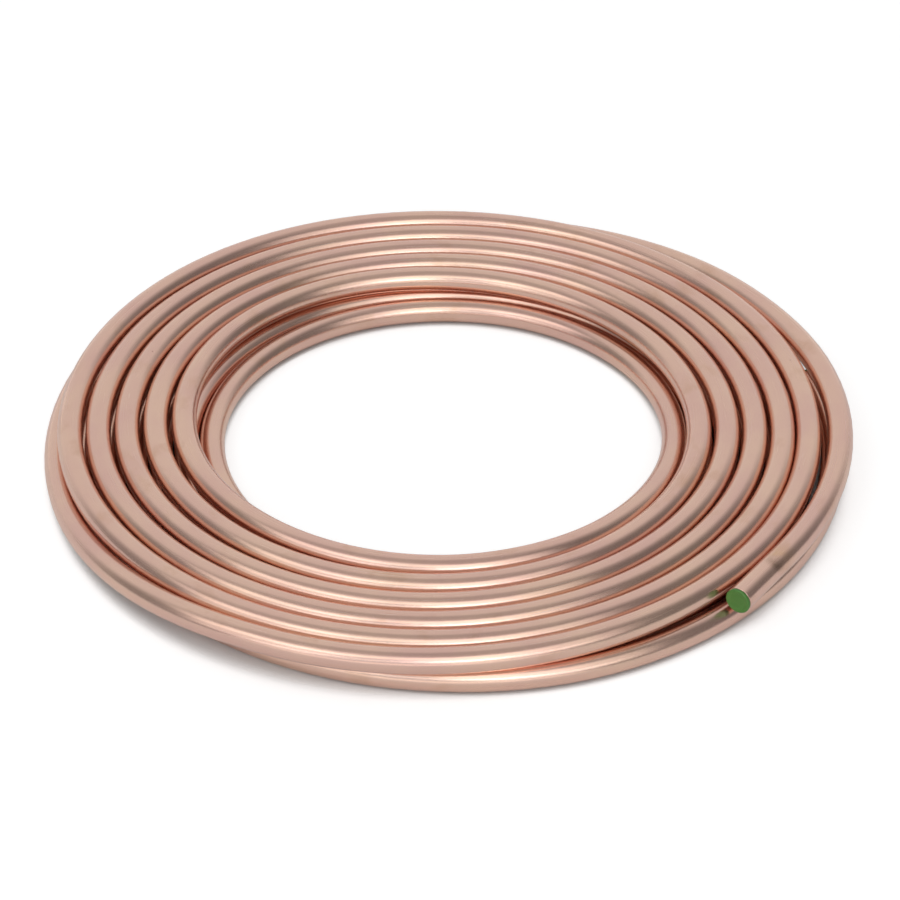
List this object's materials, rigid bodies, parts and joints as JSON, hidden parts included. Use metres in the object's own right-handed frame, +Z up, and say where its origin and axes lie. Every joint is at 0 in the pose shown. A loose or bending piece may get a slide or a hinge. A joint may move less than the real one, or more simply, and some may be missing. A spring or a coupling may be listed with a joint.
{
  "type": "copper tube coil",
  "caption": "Flat coil of soft copper tube wound in two layers, lying flat, with a plastic plug pushed into each end of the tube.",
  "frame": {"origin": "centre of the coil's bounding box, on the floor that its lowest turns lie on", "axes": "+Z up, along the axis that the tube is wound round; +X towards the side where the free outer end leaves the coil, with that end pointing towards -Y"},
  "size_m": [0.5108, 0.5012, 0.0322],
  "materials": {
    "copper": "satin",
    "green_plastic": "matte"
  },
  "bodies": {
    "root": {"copper_tube": "copper", "outer_end_plug": "green_plastic", "hidden_end_plug": "green_plastic"}
  },
  "joints": []
}
